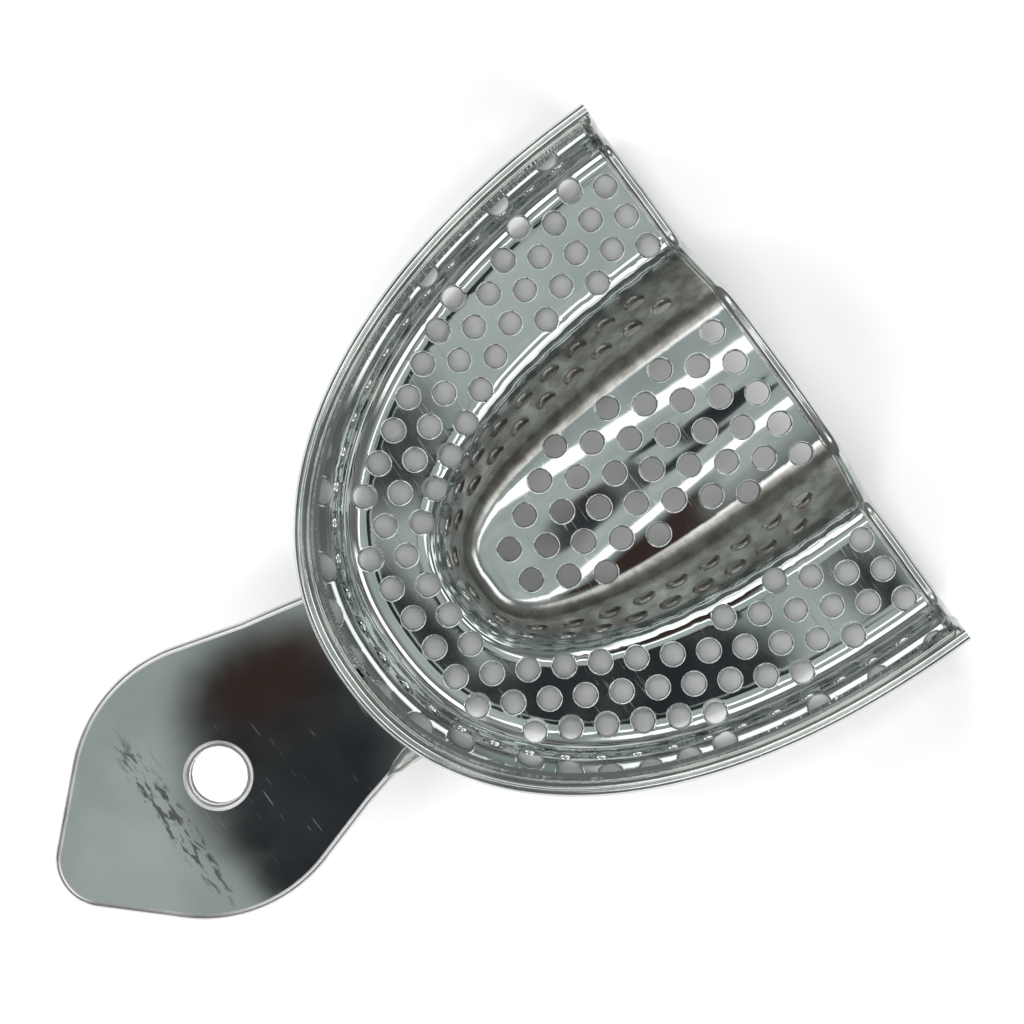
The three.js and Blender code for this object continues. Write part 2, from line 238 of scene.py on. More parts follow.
def palatalWall(n, place, perMm):
    # 1 between the foot of the palatal wall and the edge of the crown, seen in plan
    parts = n.add("ShaderNodeSeparateXYZ", {0: place}).outputs
    across = n.math("ABSOLUTE", n.math("MULTIPLY", parts["X"], perMm))
    depth = n.math("SUBTRACT", backEdge, n.math("MULTIPLY", parts["Y"], perMm))
    depth = n.math("MAXIMUM", depth, 0.0)
    reaches = []
    for level, inX, inDepth in ((palateBase, 0.5, 0.5), (crownEdge, 1.5, 1.0)):
        power = level["squareness"]
        wide = n.math("POWER", n.math("DIVIDE", across, level["halfWidth"] - inX), power)
        deep = n.math("POWER", n.math("DIVIDE", depth, level["depth"] - inDepth), power)
        reaches.append(n.math("POWER", n.math("ADD", wide, deep), 1.0 / power))
    return n.math("MULTIPLY", n.ramp(reaches[0], 1.03, 0.97), n.ramp(reaches[1], 0.97, 1.05))


mirrorLook = {
    "deepTone": rgb(0.56, 0.6, 0.59), "lightTone": rgb(0.66, 0.69, 0.68),
    "cloudScale": 0.12, "grainScale": 2.4, "dentScale": 0.42,
    "dentDepth": 0.0006, "grainDepth": 0.00008,
    "roughLow": 0.02, "roughHigh": 0.05, "grainRough": 0.02,
    "scratchTurns": [(35.0, 0.04), (-62.0, 0.05)],  # turn and how far they are drawn out
    "scratchScale": 5.0, "scratchLimit": 0.69, "scratchSpan": 0.06,
    "scratchRough": 0.1, "scratchDepth": 0.0003,
}
trayLook = dict(
    mirrorLook, wallRough=0.27,
    # the two wall colours below are painted shade for the palatal wall
    paintedWallShade=rgb(0.25, 0.232, 0.21), paintedWallShadePale=rgb(0.4, 0.405, 0.38),
)
leafLook = dict(
    mirrorLook, dentScale=0.1, dentDepth=0.0012, grainDepth=0.00004,
    deepTone=rgb(0.54, 0.57, 0.56), lightTone=rgb(0.62, 0.64, 0.63),
    roughLow=0.018, roughHigh=0.045, grainRough=0.012, scratchLimit=0.735,
    band={"x": 0.8, "depth": 81.3, "halfLength": 13.5, "halfWidth": 1.9, "turn": 0.0,
          "streakTurn": 24.0, "streakStretch": 0.32, "streakScale": 1.7},
    bandTone=rgb(0.16, 0.165, 0.16),
)
edgeLook = dict(
    mirrorLook, dentScale=0.4, dentDepth=0.004, grainDepth=0.002,
    deepTone=rgb(0.58, 0.57, 0.59), lightTone=rgb(0.72, 0.71, 0.73),
    roughLow=0.24, roughHigh=0.36,
)
wireLook = dict(
    mirrorLook, dentScale=0.5, dentDepth=0.03, grainScale=1.6, grainDepth=0.006,
    deepTone=rgb(0.5, 0.52, 0.51), lightTone=rgb(0.66, 0.68, 0.66),
    roughLow=0.1, roughHigh=0.22,
)
solderLook = dict(
    mirrorLook, dentScale=0.9, dentDepth=0.09, grainScale=2.6, grainDepth=0.012,
    deepTone=rgb(0.4, 0.41, 0.39), lightTone=rgb(0.6, 0.61, 0.59),
    roughLow=0.16, roughHigh=0.34,
)
shell = {
    "sheet": 0.9, "start": 1.35,
    # how finely the shell is divided: round the arch, then part by part along its section
    "turns": 232, "flangeRows": 4, "foldRows": 8,
    "floorRows": 12, "wallRows": 8,
    "crownRows": 14,
    "flangeFold": 3.2, "palateFold": 2.2, "crownFold": 1.7,
    "crownRise": 1.5, "waveSize": 11.0, "waveHeight": 0.004,
    "mottleSize": 2.6, "mottleHeight": 0.05, "wallMottle": 2.2, "floorMottle": 0.006,
    "turnEasing": 0.75, "weld": 0.02,
}
midFloor = shell["sheet"] / 2
lipInset = 1.5 + 0.3 + midFloor  # the rim wire, its solder line and half the sheet
lipLevel = {"halfWidth": rimHalfWidth - lipInset, "depth": rimDepth - lipInset,
            "squareness": 2.2, "height": 13.0, "setBack": 0.95}
troughOuter = {"halfWidth": 31.7, "depth": 52.3, "squareness": 2.25, "height": midFloor,
               "setBack": 0.0}
palateBase = {"halfWidth": 17.1, "depth": 42.1, "squareness": 2.35, "height": midFloor,
              "setBack": 0.0}
crownEdge = {"halfWidth": 10.3, "depth": 39.3, "squareness": 2.9, "height": 12.3,
             "setBack": 0.0}
crownRidge = dict(crownEdge, halfWidth=0.0,
                  depth=crownEdge["depth"] - crownEdge["halfWidth"])

mirrorSteel = makeSteel("polished_tray_steel", trayLook)
leafSteel = makeSteel("polished_leaf_steel", leafLook)
edgeSteel = makeSteel("ground_leaf_edge", edgeLook)
wireSteel = makeSteel("drawn_wire_steel", wireLook)
silverSolder = makeSteel("hand_finished_solder", solderLook)
print("materials ready")


def levelBetween(lower, upper, share):
    return {key: mix(lower[key], upper[key], share) for key in lower}


def levelPoint(level, turn, start):
    power = 2 / level["squareness"]
    across = math.cos(turn)
    along = max(math.sin(turn), 0.0)
    x = level["halfWidth"] * math.copysign(abs(across) ** power, across)
    start += level["setBack"]
    return at(x, start + (level["depth"] - start) * along ** power, level["height"])


def reach(level, x, depth, inset=0.0):
    across = abs(x) / (level["halfWidth"] - inset)
    along = abs(depth) / (level["depth"] - inset)
    squareness = level["squareness"]
    return (across ** squareness + along ** squareness) ** (1 / squareness)


def levelFront(level, x):
    across = min(abs(x) / level["halfWidth"], 1.0) ** level["squareness"]
    start = shell["start"] + level["setBack"]
    return start + (level["depth"] - start) * (1 - across) ** (1 / level["squareness"])


def crownHeight(x, depth):
    return crownEdge["height"] + shell["crownRise"] * (1 - reach(crownEdge, x, depth) ** 2)


def crownPoint(turn, share, start):
    point = levelPoint(crownEdge, turn, start).lerp(levelPoint(crownRidge, turn, start), share)
    point.z = crownHeight(point.x, backEdge - point.y)
    return point


def bend(before, corner, after, leg, steps):
    first = corner + (before - corner).normalized() * leg
    last = corner + (after - corner).normalized() * leg
    points = []
    for i in range(steps + 1):
        t = i / steps
        points.append(first * (1 - t) ** 2 + corner * (2 * t * (1 - t)) + last * t ** 2)
    return points


def straight(a, b, steps):
    return [a.lerp(b, i / steps) for i in range(1, steps)]


def section(turn, start=shell["start"]):
    lip, outer, base = [levelPoint(l, turn, start) for l in (lipLevel, troughOuter, palateBase)]
    crown = crownPoint(turn, 0.0, start)
    run = (crownPoint(turn, 1.0, start) - crown).length
    crownStart = shell["crownFold"] / run
    crownSide = crownPoint(turn, crownStart, start)
    flange = bend(lip, outer, base, shell["flangeFold"], shell["foldRows"])
    foot = bend(outer, base, crown, shell["palateFold"], shell["foldRows"])
    edge = bend(base, crown, crownSide, shell["crownFold"], shell["foldRows"])
    points = [lip] + straight(lip, flange[0], shell["flangeRows"]) + flange
    points += straight(flange[-1], foot[0], shell["floorRows"]) + foot
    points += straight(foot[-1], edge[0], shell["wallRows"]) + edge
    for i in range(1, shell["crownRows"] + 1):
        points.append(crownPoint(turn, mix(crownStart, 1.0, i / shell["crownRows"]), start))
    return points


def evenTurns(count):
    # closer together at the back corners and the front, where the curves are tightest
    turns = []
    for i in range(count + 1):
        quarter, place = divmod(2 * i / count, 1.0)
        circle = 2 * math.pi
        eased = place - shell["turnEasing"] / circle * math.sin(circle * place)
        turns.append((quarter + eased) * math.pi / 2)
    return turns


def makeShell():
    rows = [section(turn) for turn in evenTurns(shell["turns"])]
    width = len(rows[0])
    points = [p for row in rows for p in row]
    faces = []
    for i in range(len(rows) - 1):
        for j in range(width - 1):
            a = i * width + j
            faces.append((a, a + 1, a + width + 1, a + width))
    middle = bmesh.new()
    places = [middle.verts.new(p) for p in points]
    for face in faces:
        middle.faces.new([places[k] for k in face])
    bmesh.ops.remove_doubles(middle, verts=middle.verts, dist=shell["weld"])
    bmesh.ops.dissolve_degenerate(middle, edges=middle.edges, dist=0.01)
    middle.normal_update()
    if sum(f.normal.z * f.calc_area() for f in middle.faces) < 0:
        bmesh.ops.reverse_faces(middle, faces=middle.faces)
        middle.normal_update()
    roughenSheet(middle)
    middle.verts.index_update()
    count = len(middle.verts)
    half = shell["sheet"] / 2
    outer = [v.co + v.normal * half for v in middle.verts]
    inner = [v.co - v.normal * half for v in middle.verts]
    solid = []
    for face in middle.faces:
        loop = [v.index for v in face.verts]
        solid.append(loop)
        solid.append([k + count for k in reversed(loop)])
    for edge in middle.edges:
        if edge.is_boundary:
            loop = edge.link_loops[0]
            a = loop.vert.index
            b = loop.link_loop_next.vert.index
            solid.append([b, a, a + count, b + count])
    mesh = meshFrom("tray_shell", outer + inner, solid)
    sheetPoints = [v.co.copy() for v in middle.verts]
    sheetNormals = [v.normal.copy() for v in middle.verts]
    middle.faces.ensure_lookup_table()
    tree = BVHTree.FromBMesh(middle)
    faceVerts = [[v.index for v in f.verts] for f in middle.faces]
    middle.free()
    return mesh, (tree, faceVerts, sheetPoints, sheetNormals)


def roughenSheet(middle):
    # pressing leaves gentle waves in the sheet, and a finer mottle up the palatal wall
    moves = []
    for v in middle.verts:
        steep = 1.0 - abs(v.normal.z)
        wave = noise.noise(v.co / shell["waveSize"]) * shell["waveHeight"]
        mottle = noise.noise(v.co / shell["mottleSize"] + Vector((7.0, 3.0, 1.0)))
        inPalate = abs(v.co.x) < palateBase["halfWidth"] + 1.0
        inPalate = inPalate and v.co.y > backEdge - palateBase["depth"] - 1.4
        share = min(steep * shell["wallMottle"], 1.0) if inPalate else shell["floorMottle"]
        moves.append(v.normal * (wave + mottle * shell["mottleHeight"] * share))
    for v, move in zip(list(middle.verts), moves):
        v.co += move
    middle.normal_update()


shellMesh, sheetSurface = makeShell()
print("shell pressed", len(shellMesh.vertices), "points")


perforation = {
    "radius": 1.2, "lip": 0.22, "pitch": 3.95, "rowPitch": 3.42, "shift": 0.6,
    "lipStart": 0.85, "lipDepth": 1.1, "lipFlare": 1.45, "outerTaper": 1.05,
    "firstTroughRow": 3.2, "firstCrownRow": 3.95, "sides": 16, "holesAside": 10,
    "outerMargin": 1.7, "innerMargin": 1.5, "crownMargin": 1.6, "endMargin": 1.5,
    "flangeRing": 0.3, "lowerWallRing": 0.36, "upperWallRing": 0.68,
}


def sheetNormalAt(point):
    tree, faceVerts, points, normals = sheetSurface
    found, _, index, _ = tree.find_nearest(point)
    total = Vector((0.0, 0.0, 0.0))
    for k in faceVerts[index]:
        total += normals[k] / ((points[k] - found).length + 0.02)
    return found, total.normalized()


def patternPlaces(firstRow):
    rowPitch = perforation["rowPitch"]
    pitch = perforation["pitch"]
    aside = perforation["holesAside"]
    for row in range(int((rimDepth - firstRow) / rowPitch) + 1):
        for hole in range(-aside, aside + 1):
            x = perforation["shift"] + (hole + (row % 2) / 2) * pitch
            yield x, firstRow + row * rowPitch


def ringPlaces(lower, upper, rise, stagger):
    # even places along one level of a wall, for its row of holes
    level = levelBetween(lower, upper, rise)
    steps = 1600
    start = shell["start"] + 0.25
    walk = [levelPoint(level, math.pi * i / steps, start) for i in range(steps + 1)]
    lengths = [0.0]
    for a, b in zip(walk, walk[1:]):
        lengths.append(lengths[-1] + (b - a).length)
    pitch = perforation["pitch"]
    count = int((lengths[-1] - 2 * perforation["radius"] - perforation["endMargin"]) / pitch)
    margin = (lengths[-1] - (count - 1) * pitch) / 2
    places = []
    k = 0
    for i in range(count - (1 if stagger else 0)):
        want = margin + (i + (0.5 if stagger else 0.0)) * pitch
        while lengths[k + 1] < want:
            k += 1
        share = (want - lengths[k]) / (lengths[k + 1] - lengths[k])
        places.append(walk[k].lerp(walk[k + 1], share))
    return places


def perforationPlaces():
    places = []
    for x, depth in patternPlaces(perforation["firstTroughRow"]):
        outside = reach(troughOuter, x, depth, perforation["outerMargin"])
        inside = reach(palateBase, x, depth, -perforation["innerMargin"])
        if outside < 1 and inside > 1:
            places.append(at(x, depth, midFloor))
    for x, depth in patternPlaces(perforation["firstCrownRow"]):
        if reach(crownEdge, x, depth, perforation["crownMargin"]) < 1:
            places.append(at(x, depth, crownHeight(x, depth)))
    places += ringPlaces(troughOuter, lipLevel, perforation["flangeRing"], False)
    places += ringPlaces(palateBase, crownEdge, perforation["lowerWallRing"], True)
    places += ringPlaces(palateBase, crownEdge, perforation["upperWallRing"], False)
    return [sheetNormalAt(p) for p in places]


def punchTree():
    tree = makeTree("perforate_sheet", [
        ("Punch Places", "NodeSocketObject"), ("Hole Radius", "NodeSocketFloat"),
        ("Lip Width", "NodeSocketFloat"), ("Sheet Thickness", "NodeSocketFloat"),
        ("Sides", "NodeSocketInt"), ("Material", "NodeSocketMaterial"),
    ])
    n = Nodes(tree)
    sizes = n.add("NodeGroupInput").outputs
    half = n.math("MULTIPLY", sizes["Sheet Thickness"], 0.5)
    # the punch is a stack of six rings along Z, and opens out at both faces of the sheet
    ring = n.add("GeometryNodeInputIndex").outputs[0]
    side = n.math("SUBTRACT", ring, 2.5)
    away = n.math("SUBTRACT", n.math("ABSOLUTE", side), 0.5)  # 0 to 2 rings from the middle
    beyond = n.math("MAXIMUM", n.math("SUBTRACT", away, 1.0), 0.0)  # 1 for the outermost ring
    flared = n.math("MINIMUM", away, 1.0)
    lip = sizes["Lip Width"]
    straightHalf = n.math("SUBTRACT", half, n.math("MULTIPLY", lip, perforation["lipStart"]))
    lipDepth = n.math("MULTIPLY", lip, perforation["lipDepth"])
    level = n.math("ADD", straightHalf, n.math("MULTIPLY", flared, lipDepth))
    level = n.math("ADD", level, n.math("MULTIPLY", beyond, sizes["Sheet Thickness"]))
    height = n.math("MULTIPLY", level, n.math("SIGN", side))
    grown = n.math("SUBTRACT", n.math("MULTIPLY", flared, perforation["lipFlare"]),
                   n.math("MULTIPLY", beyond, perforation["outerTaper"]))
    radius = n.math("ADD", sizes["Hole Radius"], n.math("MULTIPLY", grown, lip))
    line = n.add("GeometryNodeMeshLine", {"Count": 6, "Offset": (0.0, 0.0, 0.0)})
    up = n.add("ShaderNodeCombineXYZ", {"Z": height}).outputs[0]
    stack = n.add("GeometryNodeSetPosition", {"Geometry": line.outputs[0], "Position": up})
    spine = n.add("GeometryNodeMeshToCurve", {"Mesh": stack.outputs[0]}).outputs[0]
    circle = n.add("GeometryNodeCurvePrimitiveCircle",
                   {"Resolution": sizes["Sides"], "Radius": 1.0})
    punch = n.add("GeometryNodeCurveToMesh", {
        "Curve": spine, "Profile Curve": circle.outputs[0], "Scale": radius, "Fill Caps": True,
    }).outputs[0]
    holes = n.add("GeometryNodeObjectInfo", {"Object": sizes["Punch Places"]})
    axis = n.add("GeometryNodeInputNamedAttribute", {"Name": "sheetNormal"},
                 data_type="FLOAT_VECTOR").outputs["Attribute"]
    turned = n.add("FunctionNodeAlignRotationToVector", {"Vector": axis}, axis="Z").outputs[0]
    spread = n.add("GeometryNodeInstanceOnPoints", {
        "Points": holes.outputs["Geometry"], "Instance": punch, "Rotation": turned,
    }).outputs[0]
    punches = n.add("GeometryNodeRealizeInstances", {"Geometry": spread}).outputs[0]
    cut = n.add("GeometryNodeMeshBoolean", {"Mesh 1": sizes["Geometry"], "Mesh 2": punches},
                operation="DIFFERENCE", solver="MANIFOLD").outputs[0]
    whole = n.add("GeometryNodeRealizeInstances", {"Geometry": cut}).outputs[0]
    soft = n.add("GeometryNodeSetShadeSmooth", {"Geometry": whole}).outputs[0]
    done = n.add("GeometryNodeSetMaterial", {"Geometry": soft, "Material": sizes["Material"]})
    n.add("NodeGroupOutput", {"Geometry": done.outputs[0]})
    return tree


def makeTrayBody():
    holes = perforationPlaces()
    dots = bpy.data.meshes.new("punch_places")
    dots.from_pydata([p * mm for p, _ in holes], [], [])
    axes = dots.attributes.new("sheetNormal", "FLOAT_VECTOR", "POINT")
    for k, (_, normal) in enumerate(holes):
        axes.data[k].vector = normal
    places = newObject("punch_places", dots)
    tray = newObject("pressed_tray", shellMesh)
    applyTree(tray, punchTree(), {
        "Punch Places": places, "Hole Radius": perforation["radius"] * mm,
        "Lip Width": perforation["lip"] * mm, "Sheet Thickness": shell["sheet"] * mm,
        "Sides": perforation["sides"], "Material": mirrorSteel,
    })
    bpy.data.objects.remove(places)
    # the faces of the sheet keep the shading of the unpunched sheet, right up to each hole
    mesh = tray.data
    mesh.polygons.foreach_set("material_index", [0] * len(mesh.polygons))
    mesh.materials.clear()
    mesh.materials.append(mirrorSteel)
    half = shell["sheet"] / 2
    nearFace = 0.035
    normals = [v.vector.copy() for v in mesh.vertex_normals]
    for k, v in enumerate(mesh.vertices):
        point = v.co / mm
        found, normal = sheetNormalAt(point)
        gap = (point - found).dot(normal)
        if abs(abs(gap) - half) < nearFace:
            normals[k] = normal * math.copysign(1.0, gap)
    mesh.normals_split_custom_set_from_vertices(normals)
    print("perforations", len(holes), "tray faces", len(mesh.polygons))
    return finishPiece(tray, "polished_steel", "tray_body")


makeTrayBody()


wires = {
    "rimRadius": 0.75, "rimHeight": 12.65, "setBack": 0.95,
    "rimSeam": {"radius": 0.34, "inset": 1.66, "height": 12.72, "start": 0.9, "finish": 0.5},
    "backBead": {"radius": 0.65, "depth": 0.65, "lift": 0.2, "top": 10.95},
    "backSeam": {"radius": 0.36, "depth": 1.36, "lift": 0.16, "top": 11.6, "finish": 0.4},
    "wireFinish": 0.06, "finishScale": 260.0,  # how uneven the radius is, and how finely
    "flangeFrom": 25.0,  # beyond this x the section runs up the flange
    # across and up: where the back wire's ends turn out over the ends of the rim wire
    "rimTurn": [(34.35, 12.6), (33.8, 12.55), (33.3, 12.3), (32.95, 11.9), (32.75, 11.4)],
    "sides": 20, "steps": 220,
}


def wireTree():
    tree = makeTree("round_wire", [
        ("Wire Radius", "NodeSocketFloat"), ("Hand Finish", "NodeSocketFloat"),
        ("Sides", "NodeSocketInt"), ("Seed", "NodeSocketFloat"),
        ("Material", "NodeSocketMaterial"),
    ])
    n = Nodes(tree)
    sizes = n.add("NodeGroupInput").outputs
    spine = n.add("GeometryNodeMeshToCurve", {"Mesh": sizes["Geometry"]}).outputs[0]
    place = n.add("GeometryNodeInputPosition").outputs[0]
    uneven = n.add("ShaderNodeTexNoise", {
        "Vector": place, "W": sizes["Seed"], "Scale": wires["finishScale"], "Detail": 1.0,
    }, noise_dimensions="4D").outputs["Fac"]
    share = n.math("MULTIPLY", n.math("SUBTRACT", uneven, 0.5), sizes["Hand Finish"])
    radius = n.math("MULTIPLY", sizes["Wire Radius"], n.math("ADD", share, 1.0))
    circle = n.add("GeometryNodeCurvePrimitiveCircle",
                   {"Resolution": sizes["Sides"], "Radius": 1.0})
    wire = n.add("GeometryNodeCurveToMesh", {
        "Curve": spine, "Profile Curve": circle.outputs[0], "Scale": radius, "Fill Caps": True,
    }).outputs[0]
    whole = n.add("GeometryNodeRealizeInstances", {"Geometry": wire}).outputs[0]
    soft = n.add("GeometryNodeSetShadeSmooth", {"Geometry": whole}).outputs[0]
    done = n.add("GeometryNodeSetMaterial", {"Geometry": soft, "Material": sizes["Material"]})
    n.add("NodeGroupOutput", {"Geometry": done.outputs[0]})
    return tree


roundWire = wireTree()


def makeWire(name, path, radius, finish, seed, material, slot, *nodes):
    mesh = bpy.data.meshes.new(name)
    mesh.from_pydata([p * mm for p in path], [(i, i + 1) for i in range(len(path) - 1)], [])
    wire = applyTree(newObject(name, mesh), roundWire, {
        "Wire Radius": radius * mm, "Hand Finish": finish, "Seed": float(seed),
        "Sides": wires["sides"], "Material": material,
    })
    return finishPiece(wire, slot, *nodes)


def levelPath(level, start):
    return [levelPoint(level, turn, start) for turn in evenTurns(wires["steps"])]


rimLevel = {"halfWidth": rimHalfWidth - wires["rimRadius"],
            "depth": rimDepth - wires["rimRadius"], "squareness": lipLevel["squareness"],
            "height": wires["rimHeight"], "setBack": wires["setBack"]}
makeWire("rim_bead", levelPath(rimLevel, 0.0), wires["rimRadius"],
         wires["wireFinish"], 3, wireSteel, "wire_steel", "rim_wire")
rimSeam = wires["rimSeam"]
seamLevel = dict(rimLevel, halfWidth=rimHalfWidth - rimSeam["inset"],
                 depth=rimDepth - rimSeam["inset"], height=rimSeam["height"])
makeWire("rim_seam", levelPath(seamLevel, rimSeam["start"]), rimSeam["radius"],
         rimSeam["finish"], 8, silverSolder, "silver_solder")


def backPath(wire, rimTurn=()):
    # follows the sheet's section from the top of one flange to the other; up the flanges the
    # wire leans with the sheet's end
    lift = wire["lift"]
    flangeFrom = wires["flangeFrom"]
    places = list(rimTurn)
    for p in section(0.0)[1:]:
        if p.z + lift < wire["top"] or p.x < flangeFrom:
            places.append((p.x, p.z + lift))
    points = []
    for x, z in places:
        lean = lipLevel["setBack"] * z / lipLevel["height"] if x > flangeFrom else 0.0
        points.append(at(x, wire["depth"] + lean, z))
    other = [Vector((-p.x, p.y, p.z)) for p in reversed(points[:-1])]
    return points + other


backBead = wires["backBead"]
makeWire("back_bead", backPath(backBead, wires["rimTurn"]), backBead["radius"],
         wires["wireFinish"], 5, wireSteel, "wire_steel", "back_wire")
backSeam = wires["backSeam"]
makeWire("back_seam", backPath(backSeam), backSeam["radius"],
         backSeam["finish"], 12, silverSolder, "silver_solder")
print("wires laid")


leaf = {
    "thickness": 1.8, "clearance": 1.6, "neckAngle": math.radians(16.5),
    "pointAngle": math.radians(43.5), "halfWidth": 14.9, "widestAt": 75.2, "shoulder": 16.8,
    "tip": 5.3, "hole": 3.1, "holeAt": 74.6, "edgeWidth": 0.7, "edgeHeight": 0.6,
    "footTop": 10.4, "footHalfWidth": 9.7, "footCorner": 2.2, "footGap": 1.42,
    "bendLeg": 2.6, "bendShare": 1.62,  # walked length of the bend, in legs
    "flatEnd": 63.0,  # depth beyond which the blank is not stretched
}
leafMiddle = leaf["clearance"] + leaf["thickness"] / 2


def footDepth(x, height):
    share = (height - midFloor) / (lipLevel["height"] - midFloor)
    return levelFront(levelBetween(troughOuter, lipLevel, share), x) + leaf["footGap"]


bendStart = footDepth(0.0, leafMiddle) + leaf["bendLeg"]
bendLength = leaf["bendShare"] * leaf["bendLeg"]
footLength = bendLength + leaf["footTop"] - leafMiddle - leaf["bendLeg"]
flatEnd = leaf["flatEnd"]


def neckHalfWidth(depth):
    shoulderX = leaf["halfWidth"] - leaf["shoulder"] * (1 - math.cos(leaf["neckAngle"]))
    shoulderDepth = leaf["widestAt"] - leaf["shoulder"] * math.sin(leaf["neckAngle"])
    return shoulderX - (shoulderDepth - depth) * math.tan(leaf["neckAngle"])


def arc(x, depth, radius, first, last, steps):
    points = []
    for i in range(steps + 1):
        angle = mix(first, last, i / steps)
        points.append((x + radius * math.cos(angle), depth - radius * math.sin(angle)))
    return points


def leafOutline():
    # one side from the tip to the top of the foot, then the other side back
    tip = leaf["tip"]
    side = arc(0.0, handleLength - tip, tip, -math.pi / 2, -leaf["pointAngle"], 14)[1:]
    side += arc(leaf["halfWidth"] - leaf["shoulder"], leaf["widestAt"], leaf["shoulder"],
                -leaf["pointAngle"], leaf["neckAngle"], 40)
    shoulderEnd = side[-1][1]
    for i in range(1, 12):
        depth = mix(shoulderEnd, bendStart, i / 11)
        side.append((neckHalfWidth(depth), depth))
    end = bendStart - footLength
    corner = leaf["footCorner"]
    wide = leaf["footHalfWidth"]
    for i in range(1, 9):
        depth = mix(bendStart, end + corner, i / 8)
        settle = min(i / 4, 1.0)
        side.append((mix(neckHalfWidth(bendStart), wide, settle), depth))
    side += arc(wide - corner, end + corner, corner, 0.0, math.pi / 2, 8)[1:]
    for i in range(1, 8):
        side.append((mix(wide - corner, 0.0, i / 7), end))
    other = [(-x, depth) for x, depth in reversed(side[:-1])]
    return [(0.0, handleLength)] + side + other


def insetLoop(loop, distance, sign):
    # moves a closed outline inwards along the bisector at each point
    moved = []
    count = len(loop)
    for i in range(count):
        ax, ay = loop[i - 1]
        bx, by = loop[i]
        cx, cy = loop[(i + 1) % count]
        first = Vector((bx - ax, by - ay)).normalized()
        last = Vector((cx - bx, cy - by)).normalized()
        out = Vector((first.y + last.y, -first.x - last.x)).normalized()
        stretch = max(out.dot(Vector((first.y, -first.x))), 0.5)
        moved.append((bx - sign * out.x * distance / stretch,
                      by - sign * out.y * distance / stretch))
    return moved


def bendPlace(x, depth):
    # where a place of the flat blank goes once the foot is bent up against the flange
    corner = footDepth(x, leafMiddle)
    start = corner + leaf["bendLeg"]
    if depth >= flatEnd:
        return at(x, depth, leafMiddle)
    if depth >= bendStart:
        share = (depth - bendStart) / (flatEnd - bendStart)
        return at(x, mix(start, flatEnd, share), leafMiddle)
    walked = bendStart - depth
    cornerPlace = at(x, corner, leafMiddle)
    top = at(x, footDepth(x, leaf["footTop"]), leaf["footTop"])
    first = at(x, start, leafMiddle)
    last = cornerPlace + (top - cornerPlace).normalized() * leaf["bendLeg"]
    if walked <= bendLength:
        t = walked / bendLength
        return first * (1 - t) ** 2 + cornerPlace * (2 * t * (1 - t)) + last * t ** 2
    return last.lerp(top, (walked - bendLength) / (footLength - bendLength))


def bentPoint(x, depth, offset):
    small = 0.02
    point = bendPlace(x, depth)
    alongX = bendPlace(x + small, depth) - bendPlace(x - small, depth)
    alongDepth = bendPlace(x, depth - small) - bendPlace(x, depth + small)
    return point + alongX.cross(alongDepth).normalized() * offset


def edgeRings():
    # how far in and how high each ring of the rounded edge stands, from top to bottom
    half = leaf["thickness"] / 2
    rings = []
    steps = 5
    for i in range(steps + 1):
        angle = math.pi / 2 * (1 - i / steps)
        rings.append((leaf["edgeWidth"] * (1 - math.cos(angle)),
                      half - leaf["edgeHeight"] * (1 - math.sin(angle))))
    return rings + [(inset, -height) for inset, height in reversed(rings)]


def makeHandle():
    outline = leafOutline()
    bore = arc(0.0, leaf["holeAt"], leaf["hole"], 0.0, 2 * math.pi, 56)[:-1]
    area = sum(a[0] * b[1] - b[0] * a[1] for a, b in zip(outline, outline[1:] + outline[:1]))
    spin = 1.0 if area > 0 else -1.0
    blank = bmesh.new()
    rings = edgeRings()
    loops = []
    for shape, inward in ((outline, spin), (bore, -spin)):
        levels = []
        for inset, height in rings:
            moved = insetLoop(shape, inset, inward)
            levels.append([blank.verts.new((x, depth, height)) for x, depth in moved])
        loops.append(levels)
        for upper, lower in zip(levels, levels[1:]):
            for i in range(len(upper)):
                k = (i + 1) % len(upper)
                face = blank.faces.new((upper[i], upper[k], lower[k], lower[i]))
                face.material_index = 1  # the ground edge
    for level in (0, -1):  # the top face, then the bottom one
        edges = [loops[0][level], loops[1][level]]
        flat = [[v.co for v in ring] for ring in edges]
        joined = edges[0] + edges[1]
        for a, b, c in tessellate_polygon(flat):
            blank.faces.new((joined[a], joined[b], joined[c]))
    bmesh.ops.recalc_face_normals(blank, faces=blank.faces)
    for edge in blank.edges:
        # sharp where a flat face meets the rounded edge
        flatSides = [abs(f.normal.z) > 0.999 for f in edge.link_faces]
        edge.smooth = not (any(flatSides) and not all(flatSides))
    cuts = [((0, bendStart - bendLength * i / 14, 0), (0, 1, 0)) for i in range(15)]
    cuts += [((0, bendStart - footLength * i / 8, 0), (0, 1, 0)) for i in range(5, 8)]
    cuts += [((0, mix(bendStart, flatEnd, i / 3), 0), (0, 1, 0)) for i in range(1, 4)]
    cuts += [((x * 1.25, 0, 0), (1, 0, 0)) for x in range(-8, 9)]
    for place, normal in cuts:
        everything = list(blank.verts) + list(blank.edges) + list(blank.faces)
        bmesh.ops.bisect_plane(blank, geom=everything, dist=1e-4,
                               plane_co=place, plane_no=normal)
    for v in blank.verts:
        v.co = bentPoint(v.co.x, v.co.y, v.co.z) * mm
    bmesh.ops.recalc_face_normals(blank, faces=blank.faces)
    mesh = bpy.data.meshes.new("leaf_handle")
    blank.to_mesh(mesh)
    blank.free()
    smoothMesh(mesh)
    mesh.materials.append(leafSteel)
    mesh.materials.append(edgeSteel)
    return finishPiece(newObject("leaf_handle", mesh), "polished_steel", "handle")


handlePiece = makeHandle()
print("handle bent", len(handlePiece.data.polygons), "faces")


